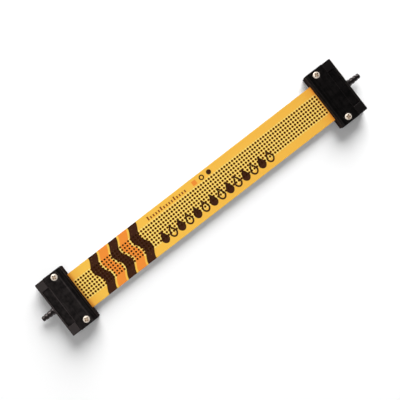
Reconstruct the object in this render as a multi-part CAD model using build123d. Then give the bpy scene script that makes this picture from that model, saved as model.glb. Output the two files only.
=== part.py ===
from build123d import *
import os

os.makedirs("parts", exist_ok=True)

# A film leak sensor lying flat: +X along the film, +Z up, origin on the floor under its middle.
# Both end boxes are one moulding. The right one is modelled, the left one is it turned half round.
# "Depth" is measured from a box's film-side face outwards. All sizes are in millimetres.

# Film laminate
FILM_SPAN = 186.6
FILM_WIDTH = 25.4
FILM_BED_HEIGHT = 3.2
BASE_FILM_THICKNESS = 0.3
COVER_THICKNESS = 0.4
COAT_THICKNESS = 0.1
FILM_INSERT = 10.2
COVER_INSERT = 3.0
SLOT_CLEARANCE = 0.2

# Perforations: square in plan, which keeps the faces of so many few
PERFORATION_ROWS = 7
PERFORATION_PITCH = 2.0
PERFORATION_SIDE = 1.15
PERFORATION_END_MARGIN = 1.2

# Conductor lines, in pairs near each edge of the film
LINE_WIDTH = 1.2
LINE_THICKNESS = 0.1
LINE_EDGE_MARGIN = 1.1
LINE_SPACING = 2.4

# Contact board and its wire posts
BOARD_DEPTH = 5.4
BOARD_THICKNESS = 1.0
BOARD_SIDE_MARGIN = 0.5
BOARD_GAP = 0.3
WIRE_POST_COUNT = 4
WIRE_POST_SIDE = 0.64
WIRE_POST_CLEARANCE = 0.05
WIRE_POST_PITCH = 3.0
WIRE_POST_TAIL = 0.8
WIRE_POST_RISE = 1.3
WIRE_POST_EDGE_MARGIN = 1.6
SOLDER_WELL_MARGIN = 1.0
SOLDER_WELL_CLEARANCE = 0.2

# Contact springs and the pad over them
SPRING_THICKNESS = 0.2
SPRING_FLAT = 2.0
SPRING_ARCH_RISE = 0.6
SPRING_ARCH_RUN = 0.7
SPRING_ON_BOARD = 1.8
PAD_THICKNESS = 1.5

# Box walls and joints
LID_WALL = 1.6
LID_ROOF = 1.6
LID_OVERHANG = 0.25
LID_BEVEL_RUN = 1.2
LID_BEVEL_DROP = 1.2
TONGUE_THICKNESS = 1.5
TONGUE_STEP = 0.6
POST_DEPTH = 5.9
POST_WIDTH = 6.0
RIM_WALL = 1.2
JOINT_GAP = 0.2
EDGE_CHAMFER = 0.35

# Screws and thread inserts: shanks and the holes for them are eight-sided, which keeps faces few
SCREW_TO_FILM = 3.1
SCREW_TO_END = 3.2
SCREW_DEPTH = 6.1
SCREW_DIAMETER = 2.3
SHANK_SIDES = 8
SCREW_HOLE_CLEARANCE = 0.15
SCREW_TIP_GAP = 0.5
HEAD_DIAMETER = 4.2
HEAD_HEIGHT = 1.2
HEAD_POCKET_DIAMETER = 5.0
HEAD_POCKET_DEPTH = 0.6
RECESS_SPAN = 2.2
RECESS_WIDTH = 0.5
RECESS_DEPTH = 0.7
INSERT_SIDES = 6
INSERT_WALL = 0.7
INSERT_FLOOR = 0.8
INSERT_CLEARANCE = 0.05

# Strain relief, an eight-sided moulding, from the flange inside the box to the tip
RELIEF_SIDES = 8
RELIEF_BORE = 1.4
FLANGE_DIAMETER = 4.8
FLANGE_THICKNESS = 1.0
FLANGE_CLEARANCE = 0.1
FLANGE_HEADROOM = 0.5
NECK_DIAMETER = 3.3
NECK_CLEARANCE = 0.05
COLLAR_DIAMETER = 4.1
COLLAR_LENGTH = 1.6
TAPER_LENGTH = 8.0
TAPER_ROOT_DIAMETER = 3.6
TAPER_TIP_DIAMETER = 2.8
GROOVE_COUNT = 3
GROOVE_PITCH = 2.4
GROOVE_WIDTH = 0.9
GROOVE_DEPTH = 0.35
FIRST_GROOVE = 1.0

# Levels
LINE_TOP = FILM_BED_HEIGHT + BASE_FILM_THICKNESS
FILM_TOP = LINE_TOP + COAT_THICKNESS + COVER_THICKNESS
BOARD_SEAT = LINE_TOP - BOARD_THICKNESS
RELIEF_HEIGHT = BOARD_SEAT + FLANGE_CLEARANCE + FLANGE_DIAMETER / 2
TONGUE_UNDERSIDE = RELIEF_HEIGHT + FLANGE_DIAMETER / 2 + FLANGE_HEADROOM
TONGUE_TOP = TONGUE_UNDERSIDE + TONGUE_THICKNESS
BOX_HEIGHT = TONGUE_TOP + TONGUE_STEP
HEAD_SEAT = BOX_HEIGHT - HEAD_POCKET_DEPTH

# Places across the film
SLOT_WIDTH = FILM_WIDTH + 2 * SLOT_CLEARANCE
SCREW_OFFSET = FILM_WIDTH / 2 + SCREW_TO_FILM
BOX_WIDTH = 2 * (SCREW_OFFSET + SCREW_TO_END)
LID_WIDTH = BOX_WIDTH + 2 * LID_OVERHANG
BOARD_WIDTH = FILM_WIDTH - 2 * BOARD_SIDE_MARGIN
POST_INNER_WIDTH = BOX_WIDTH - 2 * POST_WIDTH
LINE_OUTER = FILM_WIDTH / 2 - LINE_EDGE_MARGIN - LINE_WIDTH / 2
LINE_PLACES = [side * (LINE_OUTER - row * LINE_SPACING) for side in (-1, 1) for row in (0, 1)]
INSERT_DIAMETER = SCREW_DIAMETER + 2 * (INSERT_CLEARANCE + INSERT_WALL)

# Places in depth
FACE = FILM_SPAN / 2
BOARD_START = FILM_INSERT + BOARD_GAP
BOARD_END = BOARD_START + BOARD_DEPTH
RIM_INNER = BOARD_END + BOARD_GAP + FLANGE_THICKNESS
BOX_DEPTH = RIM_INNER + RIM_WALL
POST_START = BOX_DEPTH - POST_DEPTH
LID_DEPTH = POST_START - JOINT_GAP
SPRING_ARCH_END = BOARD_START + SPRING_ARCH_RUN / 2
SPRING_FLAT_END = FILM_INSERT - 2 * SPRING_ARCH_RUN
SPRING_FLAT_START = SPRING_FLAT_END - SPRING_FLAT
RELIEF_TIP = BOX_DEPTH + COLLAR_LENGTH + TAPER_LENGTH


def at_box(shape):
    """Carry a shape from depth measure to its place at the right end."""
    return Pos(FACE, 0, 0) * shape


def slab(depths, width, levels):
    """A straight-sided block between two depths and two levels, centred across the film."""
    size = (depths[1] - depths[0], width, levels[1] - levels[0])
    return Pos(depths[0], 0, levels[0]) * Box(*size, align=(Align.MIN, Align.CENTER, Align.MIN))


def across(points, width):
    """Extrude an outline of (depth, level) points to a width centred across the film."""
    outline = make_face(Polyline(*[(depth, 0, level) for depth, level in points], close=True))
    return extrude(outline, amount=width / 2, dir=(0, 1, 0), both=True)


def bar(diameter, levels):
    """An upright round bar between two levels."""
    upright = Cylinder(diameter / 2, levels[1] - levels[0], align=(Align.CENTER, Align.CENTER, Align.MIN))
    return Pos(0, 0, levels[0]) * upright


def prism(diameter, sides, levels):
    """An upright bar of regular section, measured over its corners, between two levels."""
    return Pos(0, 0, levels[0]) * extrude(RegularPolygon(diameter / 2, sides), amount=levels[1] - levels[0])


def screw_places():
    return [Pos(SCREW_DEPTH, side * SCREW_OFFSET, 0) for side in (-1, 1)]


def film_length(insert):
    return FILM_SPAN + 2 * insert


def perforated_film():
    """Cover film on its sensing coat. Each perforation goes through the cover and stops on the coat."""
    columns = int((FILM_SPAN - 2 * PERFORATION_END_MARGIN) / PERFORATION_PITCH) + 1
    length = film_length(COVER_INSERT)
    grid = GridLocations(PERFORATION_PITCH, PERFORATION_PITCH, columns, PERFORATION_ROWS)
    openings = [place * Wire.make_rect(PERFORATION_SIDE, PERFORATION_SIDE) for place in grid]
    sheet = Face(Wire.make_rect(length, FILM_WIDTH), openings)
    cover = Pos(0, 0, LINE_TOP + COAT_THICKNESS) * extrude(sheet, amount=COVER_THICKNESS, dir=(0, 0, 1))
    coat = slab((-length / 2, length / 2), FILM_WIDTH, (LINE_TOP, LINE_TOP + COAT_THICKNESS))
    return cover + coat


def conductor_lines():
    length = film_length(FILM_INSERT)
    line = slab((-length / 2, length / 2), LINE_WIDTH, (LINE_TOP - LINE_THICKNESS, LINE_TOP))
    return Compound(children=[Pos(0, place, 0) * line for place in LINE_PLACES])


def base_film():
    """Carrier film with the conductor lines pressed flush into its upper side."""
    length = film_length(FILM_INSERT)
    return slab((-length / 2, length / 2), FILM_WIDTH, (FILM_BED_HEIGHT, LINE_TOP)) - conductor_lines()


def base():
    plinth_plan = Rectangle(BOX_DEPTH, BOX_WIDTH, align=(Align.MIN, Align.CENTER))
    plinth = extrude(plinth_plan, amount=FILM_TOP)
    wall_plan = Pos(POST_START, 0) * Rectangle(POST_DEPTH, BOX_WIDTH, align=(Align.MIN, Align.CENTER))
    lead_room = Rectangle(RIM_INNER - POST_START, POST_INNER_WIDTH, align=(Align.MIN, Align.CENTER))
    posts = extrude(wall_plan - Pos(POST_START, 0) * lead_room, amount=BOX_HEIGHT)
    shell = plinth + posts
    corners = shell.edges().filter_by(Axis.Z).group_by(Axis.X)[-1]
    shell = chamfer(corners, EDGE_CHAMFER)
    outer_rim = shell.faces().sort_by(Axis.Z)[-1].outer_wire().edges()
    outer_rim = outer_rim.filter_by(lambda edge: edge.center().X > BOX_DEPTH - EDGE_CHAMFER)
    shell = chamfer(outer_rim, EDGE_CHAMFER / 2)
    shell -= slab((0, BOARD_START), SLOT_WIDTH, (FILM_BED_HEIGHT, FILM_TOP))
    shell -= slab((BOARD_START, RIM_INNER), BOARD_WIDTH + 2 * SLOT_CLEARANCE, (BOARD_SEAT, FILM_TOP))
    well_width = (WIRE_POST_COUNT - 1) * WIRE_POST_PITCH + 2 * SOLDER_WELL_MARGIN
    well_depths = (BOARD_START + SOLDER_WELL_MARGIN, BOARD_END - SOLDER_WELL_MARGIN / 2)
    well_floor = BOARD_SEAT - WIRE_POST_TAIL - SOLDER_WELL_CLEARANCE
    shell -= slab(well_depths, well_width, (well_floor, BOARD_SEAT))
    insert_pocket = prism(INSERT_DIAMETER + 2 * INSERT_CLEARANCE, INSERT_SIDES, (INSERT_FLOOR, FILM_TOP))
    for place in screw_places():
        shell -= place * insert_pocket
    neck_hole = relief_run((RIM_INNER, BOX_DEPTH), NECK_DIAMETER + 2 * NECK_CLEARANCE)
    return shell - Pos(0, 0, RELIEF_HEIGHT) * neck_hole


def lid():
    side_view = [
        (0, FILM_TOP),
        (0, BOX_HEIGHT - LID_BEVEL_DROP),
        (LID_BEVEL_RUN, BOX_HEIGHT),
        (LID_DEPTH, BOX_HEIGHT),
        (LID_DEPTH, FILM_TOP),
    ]
    cover = across(side_view, LID_WIDTH)
    top_ends = cover.edges().filter_by(lambda edge: abs(edge.center().Y) > LID_WIDTH / 2 - EDGE_CHAMFER)
    top_ends = top_ends.filter_by(lambda edge: edge.center().Z > BOX_HEIGHT - LID_BEVEL_DROP)
    cover = chamfer(top_ends, EDGE_CHAMFER)
    roof = BOX_HEIGHT - LID_ROOF
    cover -= slab((LID_WALL, LID_DEPTH), SLOT_WIDTH, (FILM_TOP, roof))
    rib_foot = LINE_TOP + SPRING_THICKNESS + PAD_THICKNESS
    cover += slab((SPRING_FLAT_START, SPRING_FLAT_END), SLOT_WIDTH, (rib_foot, roof))
    tongue_width = POST_INNER_WIDTH - 2 * JOINT_GAP
    cover += slab((LID_DEPTH, RIM_INNER - JOINT_GAP), tongue_width, (TONGUE_UNDERSIDE, TONGUE_TOP))
    shank_hole = prism(SCREW_DIAMETER + 2 * SCREW_HOLE_CLEARANCE, SHANK_SIDES, (FILM_TOP, BOX_HEIGHT))
    head_pocket = bar(HEAD_POCKET_DIAMETER, (HEAD_SEAT, BOX_HEIGHT))
    for place in screw_places():
        cover -= place * (shank_hole + head_pocket)
    return cover


def screw():
    """Pan-head screw on the Z axis, its head seated in the lid's pocket."""
    crown = HEAD_SEAT + HEAD_HEIGHT
    head = bar(HEAD_DIAMETER, (HEAD_SEAT, crown))
    arm = Box(RECESS_SPAN, RECESS_WIDTH, 2 * RECESS_DEPTH)
    head -= Pos(0, 0, crown) * (arm + Rot(0, 0, 90) * arm)
    return head + prism(SCREW_DIAMETER, SHANK_SIDES, (INSERT_FLOOR + SCREW_TIP_GAP, HEAD_SEAT))


def lid_screws():
    return Compound(children=[place * screw() for place in screw_places()])


def thread_inserts():
    """Six-sided brass bushes, flush with the base's upper side."""
    levels = (INSERT_FLOOR, FILM_TOP)
    bush = prism(INSERT_DIAMETER, INSERT_SIDES, levels)
    bush -= prism(SCREW_DIAMETER + 2 * INSERT_CLEARANCE, SHANK_SIDES, levels)
    return Compound(children=[place * bush for place in screw_places()])


def relief_section(depth, diameter):
    return Plane.YZ.offset(depth) * RegularPolygon(diameter / 2, RELIEF_SIDES)


def relief_run(depths, diameter):
    """A straight stretch of the strain relief's section between two depths, on the X axis."""
    return extrude(relief_section(depths[0], diameter), amount=depths[1] - depths[0])


def taper_diameter(run):
    """Diameter of the taper at a run from its root."""
    return TAPER_ROOT_DIAMETER + (TAPER_TIP_DIAMETER - TAPER_ROOT_DIAMETER) * run / TAPER_LENGTH


def strain_relief():
    """Flanged bush with a ringed taper: the grooves between the rings let it bend with the lead."""
    flange_start = RIM_INNER - FLANGE_THICKNESS
    root = BOX_DEPTH + COLLAR_LENGTH
    bush = relief_run((flange_start, RIM_INNER), FLANGE_DIAMETER)
    bush += relief_run((RIM_INNER, BOX_DEPTH), NECK_DIAMETER)
    bush += relief_run((BOX_DEPTH, root), COLLAR_DIAMETER)
    taper_root = relief_section(root, TAPER_ROOT_DIAMETER)
    taper_tip = relief_section(RELIEF_TIP, TAPER_TIP_DIAMETER)
    bush += loft([taper_root, taper_tip])
    for number in range(GROOVE_COUNT):
        run = FIRST_GROOVE + number * GROOVE_PITCH
        depths = (root + run, root + run + GROOVE_WIDTH)
        core = relief_run(depths, taper_diameter(run) - 2 * GROOVE_DEPTH)
        bush -= relief_run(depths, COLLAR_DIAMETER) - core
    bore = Rot(0, 90, 0) * bar(RELIEF_BORE, (flange_start, RELIEF_TIP))
    bush -= bore
    return Pos(0, 0, RELIEF_HEIGHT) * bush


def wire_post_places():
    depth = BOARD_END - WIRE_POST_EDGE_MARGIN
    return Pos(depth, 0, 0) * GridLocations(1, WIRE_POST_PITCH, 1, WIRE_POST_COUNT)


def wire_pin(side, levels):
    """An upright square pin between two levels."""
    return Pos(0, 0, levels[0]) * extrude(Rectangle(side, side), amount=levels[1] - levels[0])


def contact_board():
    board = slab((BOARD_START, BOARD_END), BOARD_WIDTH, (BOARD_SEAT, LINE_TOP))
    for place in wire_post_places():
        board -= place * wire_pin(WIRE_POST_SIDE + 2 * WIRE_POST_CLEARANCE, (BOARD_SEAT, LINE_TOP))
    return board


def contact_springs():
    """Bent strips, flat on the board and on the conductor lines, arched between them."""
    arch_level = LINE_TOP + SPRING_ARCH_RISE
    path = [
        (SPRING_FLAT_START, LINE_TOP),
        (SPRING_FLAT_END, LINE_TOP),
        (SPRING_FLAT_END + SPRING_ARCH_RUN, arch_level),
        (SPRING_ARCH_END, arch_level),
        (SPRING_ARCH_END + SPRING_ARCH_RUN, LINE_TOP),
        (SPRING_ARCH_END + SPRING_ARCH_RUN + SPRING_ON_BOARD, LINE_TOP),
    ]
    upper = [(depth, level + SPRING_THICKNESS) for depth, level in reversed(path)]
    strip = across(path + upper, LINE_WIDTH)
    return Compound(children=[Pos(0, place, 0) * strip for place in LINE_PLACES])


def wire_posts():
    post = wire_pin(WIRE_POST_SIDE, (BOARD_SEAT - WIRE_POST_TAIL, LINE_TOP + WIRE_POST_RISE))
    return Compound(children=[place * post for place in wire_post_places()])


def pressure_pad():
    foot = LINE_TOP + SPRING_THICKNESS
    return slab((SPRING_FLAT_START, SPRING_FLAT_END), BOARD_WIDTH, (foot, foot + PAD_THICKNESS))


BOX_PIECES = {
    "base": base,
    "lid": lid,
    "lid_screws": lid_screws,
    "thread_inserts": thread_inserts,
    "strain_relief": strain_relief,
    "contact_board": contact_board,
    "contact_springs": contact_springs,
    "wire_posts": wire_posts,
    "pressure_pad": pressure_pad,
}

export_step(perforated_film(), "parts/perforated_film.step")
export_step(conductor_lines(), "parts/conductor_lines.step")
export_step(base_film(), "parts/base_film.step")
for name, make in BOX_PIECES.items():
    piece = at_box(make())
    export_step(piece, f"parts/right_{name}.step")
    export_step(Rot(0, 0, 180) * piece, f"parts/left_{name}.step")
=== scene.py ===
import math

import bmesh
import bpy
from mathutils import Matrix, Vector


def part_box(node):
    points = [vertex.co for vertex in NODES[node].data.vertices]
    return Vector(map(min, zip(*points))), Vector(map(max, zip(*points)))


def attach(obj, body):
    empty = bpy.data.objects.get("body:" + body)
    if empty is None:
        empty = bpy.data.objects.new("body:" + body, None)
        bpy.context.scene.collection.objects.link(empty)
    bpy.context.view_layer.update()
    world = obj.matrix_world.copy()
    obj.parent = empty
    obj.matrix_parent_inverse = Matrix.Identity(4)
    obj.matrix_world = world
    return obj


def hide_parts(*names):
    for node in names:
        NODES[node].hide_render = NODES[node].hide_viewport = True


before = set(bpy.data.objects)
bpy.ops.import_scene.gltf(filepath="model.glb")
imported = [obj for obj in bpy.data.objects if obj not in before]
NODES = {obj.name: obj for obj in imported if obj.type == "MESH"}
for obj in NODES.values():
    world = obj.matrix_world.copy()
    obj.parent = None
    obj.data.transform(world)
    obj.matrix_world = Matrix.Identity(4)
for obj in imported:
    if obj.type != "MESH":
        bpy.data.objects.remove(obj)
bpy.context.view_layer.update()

MM = 0.001
BODY = "root"

# Inner faces of the boxes, in millimetres from the part's middle
BOX_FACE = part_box("right_lid")[0].x / MM

# Distances under which points are merged, in millimetres
MESH_WELD = 0.002
SHEET_WELD = 0.01

# Perforated cover film on its sensing coat, in millimetres
HOLE_PITCH = 2.0
HOLE_DIAMETER = 1.3
HOLE_ROWS = 7
HOLE_COLUMNS = 93
HOLE_SIDES = 12
COAT_THICKNESS = 0.1

# Tints round the holes, in millimetres from a hole's middle, and the field that has them
FIELD_BORDER = 0.3
FIELD_EDGE = 0.4
PALE_START = 0.8
PALE_FULL = 1.2
LIP_START = 0.92
LIP_FULL = 0.7
LIP_FOOT = 1.04
LIP_CREST = 0.6

# Shade and warm bounced light painted on the film's ends by the boxes: where each band starts and
# is full, in millimetres from the boxes, its strength, and the share of it that the field of holes is
# spared
END_SHADE_TINTS = ((9.3, 2.3, 0.25), (2.9, 0.1, 0.6))
END_SHADE_SPARED = 0.8

# Reach of the painted shade that darkens and warms the film's yellow towards its right end, to each side
# of its middle, in millimetres
SHADE_SHIFT_REACH = 95.0

# Heights on the film, as shares of its relief in millimetres
FILM_RELIEF = 0.05
LIP_HEIGHT = 0.8
FLECK_HEIGHT = 0.25
INK_HEIGHT = 0.2

# Print on the film, in millimetres from the film's middle, with the bands' swing in radians per
# millimetre
INK_EDGE = 0.12
MARK_EDGE = 0.1
ROW_EDGE = 0.05
BAND_COUNT = 5
BAND_START = -79.0
BAND_PITCH = 7.5
BAND_WIDTH = 6.2
BAND_SWING = 1.5
BAND_SWING_RATE = 0.37
DROP_COUNT = 14
DROP_START = -36.0
DROP_PITCH = 6.2
DROP_FOOT = -9.7
DROP_WIDTH = 5.2
DROP_HEIGHT = 8.8
HOLLOW_FOOT = -8.6
HOLLOW_WIDTH = 3.0
HOLLOW_HEIGHT = 5.6
SCALE_START = -35.0
SCALE_END = -5.0
TICK_PITCH = 2.0
TICK_WIDTH = 0.88
TICK_FOOT = 8.2
TICK_TOP = 9.8
LONG_TICK_EVERY = 5
LONG_TICK_TOP = 10.8
MARK_LEVEL = 9.5
RING_PLACE = 7.0
RING_BORE = 0.9
RING_RADIUS = 1.7
DISC_PLACE = 12.5
DISC_RADIUS = 1.6
TILE_LEFT = 0.0
TILE_FOOT = 8.0
TILE_SIDE = 3.0

# Half width of a printed drop at shares of its height, as shares of its greatest half width
DROP_OUTLINE = ((0.04, 0.42), (0.14, 0.78), (0.32, 1.0), (0.52, 0.80), (0.76, 0.36))

# Pan-head lid screws, in millimetres, with drafts and tapers as shares and angles in radians
HEAD_DIAMETER = 4.2
HEAD_HEIGHT = 1.2
HEAD_DOME = 0.3
HEAD_DOME_POWER = 2.6
HEAD_DRAFT = 0.07
HEAD_DRAFT_POWER = 3.0
HEAD_SIDES = 36
HEAD_SIDE_STEPS = 4
HEAD_TOP_STEPS = 6
HEAD_SHARP_ANGLE = math.radians(38)
SHANK_DIAMETER = 2.1
SHANK_SIDES = 24
RECESS_SPAN = 3.7
RECESS_WIDTH = 1.05
RECESS_DEPTH = 0.5
RECESS_TAPER = (0.6, 0.65, 1.0)
RECESS_TURN_LEAST = 0.2
RECESS_TURN_MOST = 1.4
RECESS_TURN_SEED = 4

# Painted shade on the screw heads, tan towards the middle and brown in the cross recess, in
# millimetres from a head's middle and below its dome, and the turned rings in radians per millimetre
TAN_START = 1.75
TAN_FULL = 0.9
RECESS_TINT_END = 1.75
RECESS_TINT_FULL = 1.6
RECESS_TINT_TOP = 0.03
RECESS_TINT_DEPTH = 0.12
RECESS_HEART = 0.35
RECESS_ARMS = 0.95
TURNED_RING_RATE = 42.0

# Worn ridges on the lids, in millimetres: distance from the lid's inner face, half width and reach
# to each side, with the shine that they add
CHAMFER_RIDGE = {"distance": 3.5, "half_width": 0.9, "reach": 18.6, "shine": 0.22}
TONGUE_RIDGE = {"distance": 12.4, "half_width": 0.45, "reach": 13.2, "shine": 0.55}
RIDGE_END = 0.6

# Shares of the shine: of the ridges' at the right end, past a shift in millimetres from the middle,
# and of the lid's on its chamfer
RIGHT_RIDGE_SHARE = 0.3
RIDGE_SHIFT_REACH = 10.0
CHAMFER_SHINE_SHARE = 0.45

# Scuffs on the lids: their turn in radians, their stretch and the shine that they add
SCUFF_TURN = (0.0, 0.0, 0.5)
SCUFF_STRETCH = (1.6, 0.16, 1.0)
SCUFF_SHINE = 0.2

# Eased edges of the mouldings, in millimetres and radians, and the height of its normal under which
# a face is a side
LID_EASE = 0.14
BASE_EASE = 0.12
EASE_STEPS = 2
EASE_ANGLE = math.radians(35)
SIDE_NORMAL_HEIGHT = 0.3

# Strain reliefs: runs from the flange's inner face, and radii, in millimetres
RELIEF_FLANGE = 1.0
RELIEF_NECK = 2.2
RELIEF_COLLAR = 3.8
RELIEF_FLANGE_RADIUS = 2.4
RELIEF_NECK_RADIUS = 1.65
RELIEF_COLLAR_RADIUS = 2.24
RELIEF_ROOT_RADIUS = 2.14
RELIEF_TIP_RADIUS = 1.6
RELIEF_TIP_ROUND = 0.6
RELIEF_TIP_STEPS = 4
RELIEF_BORE_RADIUS = 0.7
RELIEF_GROOVES = 3
RELIEF_FIRST_GROOVE = 1.0
RELIEF_GROOVE_PITCH = 2.4
RELIEF_GROOVE_WIDTH = 0.9
RELIEF_GROOVE_DEPTH = 0.32
RELIEF_EASE = 0.12
RELIEF_EASE_SHARE = 0.4
RELIEF_TURN_STEPS = 40
RELIEF_SHARP_ANGLE = math.radians(40)

# Floor and room, in metres and as shares of white
FLOOR_REACH = 2.0
FLOOR_CELLS = 8
FLOOR_SHADES = (0.90, 0.93)
FLOOR_WHITE_START = 0.22
FLOOR_WHITE_FULL = 0.9
FLOOR_WHITE_NEAR = 0.07
FLOOR_WHITE_FAR = 0.55
ROOM_HORIZON = 0.99
ROOM_OVERHEAD = 0.03

# Soft lights: azimuth from +X towards +Y and elevation in degrees, metres and watts
OBJECT_KEY = {"azimuth": 94.0, "elevation": 36.0, "distance": 3.0, "width": 1.8, "power": 119.0}
FLOOR_KEY = {"azimuth": 50.0, "elevation": 28.0, "distance": 3.0, "width": 2.5, "power": 172.0}
LEFT_LIGHT = {"azimuth": 182.0, "elevation": 75.0, "distance": 0.8, "width": 0.35, "power": 0.66}

# Camera, in metres and degrees, with its sensor in millimetres
CAMERA_PLACE = (-0.0108, 0.0, 0.427)
CAMERA_AIM = (-0.0020, -0.0009, 0.0)
CAMERA_ROLL = 37.7
CAMERA_FIELD = 32.1
CAMERA_SENSOR = 36.0
CAMERA_NEAREST = 0.01


# Node trees

def add(tree, kind, sockets=(), **settings):
    """Add a node, apply its settings, and fill its sockets with values or with other nodes' outputs."""
    made = tree.nodes.new(kind)
    for name, value in settings.items():
        setattr(made, name, value)
    for key, value in dict(sockets).items():
        if isinstance(value, bpy.types.NodeSocket):
            tree.links.new(value, made.inputs[key])
        else:
            made.inputs[key].default_value = value
    return made


def calc(tree, operation, first, second=0.0, third=0.0):
    """One step of arithmetic on numbers or sockets."""
    return add(tree, "ShaderNodeMath", {0: first, 1: second, 2: third}, operation=operation).outputs[0]


def both(tree, first, second):
    """One number times another, so two shares at once."""
    return calc(tree, "MULTIPLY", first, second)


def either(tree, first, second):
    """The greater of two shares."""
    return calc(tree, "MAXIMUM", first, second)


def halve(tree, value):
    """Half a number."""
    return calc(tree, "MULTIPLY", value, 0.5)


def fade(tree, value, low, high, start=0.0, end=1.0):
    """A smooth step from start to end while a value goes from low to high."""
    sockets = {"Value": value, "From Min": low, "From Max": high, "To Min": start, "To Max": end}
    return add(tree, "ShaderNodeMapRange", sockets, interpolation_type="SMOOTHSTEP").outputs["Result"]


def gap(tree, value, middle):
    """How far a value lies from a middle, to either side."""
    return calc(tree, "ABSOLUTE", calc(tree, "SUBTRACT", value, middle))


def within(tree, value, low, high, soft):
    """1 where a value lies between low and high, with soft edges."""
    half = (high - low) / 2
    return fade(tree, gap(tree, value, low + half), half + soft, half - soft)


def line_length(tree, across, along):
    """The length of a line, from its two offsets."""
    return calc(tree, "SQRT", calc(tree, "ADD", both(tree, across, across), both(tree, along, along)))


def past_step(tree, value, pitch):
    """How far a value lies past the last step of a pitch."""
    return calc(tree, "MULTIPLY", calc(tree, "FRACT", calc(tree, "DIVIDE", value, pitch)), pitch)


def axes(tree, place):
    """The three numbers of a place."""
    return add(tree, "ShaderNodeSeparateXYZ", {0: place}).outputs


def vector(tree, x=0.0, y=0.0, z=0.0):
    """A place from three numbers."""
    return add(tree, "ShaderNodeCombineXYZ", {0: x, 1: y, 2: z}).outputs[0]


def lay(tree, factor, under, over):
    """One colour over another by a factor."""
    return add(tree, "ShaderNodeMix", {0: factor, 6: under, 7: over}, data_type="RGBA").outputs[2]


def srgb(red, green, blue):
    """A colour as a screen shows it, from 0 to 255, as scene-linear values."""
    def linear(value):
        """One part of the colour."""
        share = value / 255
        return share / 12.92 if share <= 0.04045 else ((share + 0.055) / 1.055) ** 2.4
    return (linear(red), linear(green), linear(blue), 1.0)


def grey(share):
    """A grey of that share of white, as scene-linear values."""
    return (share, share, share, 1.0)


# Pieces and their geometry trees

def put_in_scene(name, data):
    """A new object in the scene."""
    made = bpy.data.objects.new(name, data)
    bpy.context.scene.collection.objects.link(made)
    return made


def keep_result(piece, modifier):
    """Make what a modifier turns a piece into the piece's own plain mesh."""
    evaluated = piece.evaluated_get(bpy.context.evaluated_depsgraph_get())
    mesh = bpy.data.meshes.new_from_object(evaluated)
    piece.modifiers.remove(modifier)
    piece.data = mesh
    mesh.name = piece.name


def settle(piece, slot, *nodes):
    """Fix a finished piece to the body, in the place of its CAD nodes."""
    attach(piece, BODY)
    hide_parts(*nodes)


def geometry_tree(name, inputs):
    """An empty geometry tree with a geometry socket each way and named size and finish inputs."""
    tree = bpy.data.node_groups.new(name, "GeometryNodeTree")
    tree.interface.new_socket("Geometry", in_out="INPUT", socket_type="NodeSocketGeometry")
    for label, kind in inputs:
        tree.interface.new_socket(label, in_out="INPUT", socket_type=f"NodeSocket{kind}")
    tree.interface.new_socket("Geometry", in_out="OUTPUT", socket_type="NodeSocketGeometry")
    return tree, tree.nodes.new("NodeGroupInput").outputs


def end_tree(tree, geometry):
    """Hand a geometry tree's result on."""
    tree.links.new(geometry, tree.nodes.new("NodeGroupOutput").inputs[0])


def grow(name, tree, values):
    """Run a geometry tree with its named inputs and keep the result as a plain mesh piece."""
    piece = put_in_scene(name, bpy.data.meshes.new(name))
    modifier = piece.modifiers.new("growth", "NODES")
    modifier.node_group = tree
    for item in tree.interface.items_tree:
        if item.in_out == "INPUT" and item.name in values:
            modifier[item.identifier] = values[item.name]
    keep_result(piece, modifier)
    return piece


def join(tree, *parts):
    """Several geometries as one."""
    joined = tree.nodes.new("GeometryNodeJoinGeometry")
    for part in parts:
        tree.links.new(part, joined.inputs[0])
    return joined.outputs[0]


def weld(tree, *parts):
    """Several sheets as one, merged where they meet."""
    sockets = {"Geometry": join(tree, *parts), "Distance": SHEET_WELD * MM}
    return add(tree, "GeometryNodeMergeByDistance", sockets).outputs[0]


def lift(tree, geometry, height):
    """A geometry moved up by a height."""
    sockets = {"Geometry": geometry, "Translation": vector(tree, z=height)}
    return add(tree, "GeometryNodeTransform", sockets).outputs[0]


def painted(tree, geometry, finish):
    """A geometry in a finish."""
    return add(tree, "GeometryNodeSetMaterial", {"Geometry": geometry, "Material": finish}).outputs[0]


# Materials

def blank_material(name):
    """A material with an empty tree."""
    made = bpy.data.materials.new(name)
    made.use_nodes = True
    made.node_tree.nodes.clear()
    return made, made.node_tree


def surface(name):
    """A material with a plain shader: its tree, the shader, and the place in millimetres."""
    made, tree = blank_material(name)
    shader = tree.nodes.new("ShaderNodeBsdfPrincipled")
    tree.links.new(shader.outputs[0], tree.nodes.new("ShaderNodeOutputMaterial").inputs[0])
    place = tree.nodes.new("ShaderNodeTexCoord").outputs["Object"]
    place = add(tree, "ShaderNodeVectorMath", {0: place, "Scale": 1 / MM}, operation="SCALE").outputs[0]
    return made, tree, shader, place


def feed(tree, shader, label, value):
    """Link a value that varies over the surface to one of the shader's sockets."""
    tree.links.new(value, shader.inputs[label])


def grain(tree, place, scale, detail=2.0, roughness=0.5):
    """Noise from 0 to 1, of a scale in waves per unit of the place."""
    sockets = {"Vector": place, "Scale": scale, "Detail": detail, "Roughness": roughness}
    return add(tree, "ShaderNodeTexNoise", sockets).outputs["Fac"]


def raise_by(tree, shader, height, most):
    """Bump a surface by a height from 0 to 1, where 1 is that many millimetres."""
    bump = add(tree, "ShaderNodeBump", {"Height": height, "Distance": most * MM, "Strength": 1.0})
    feed(tree, shader, "Normal", bump.outputs[0])


# Plastic and rubber, with the tint of the light they throw back and the slow share of their gloss

WARM_GLOSS = (1.0, 0.84, 0.82, 1.0)
SLOW_GLOSS_SHARE = 0.4


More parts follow.
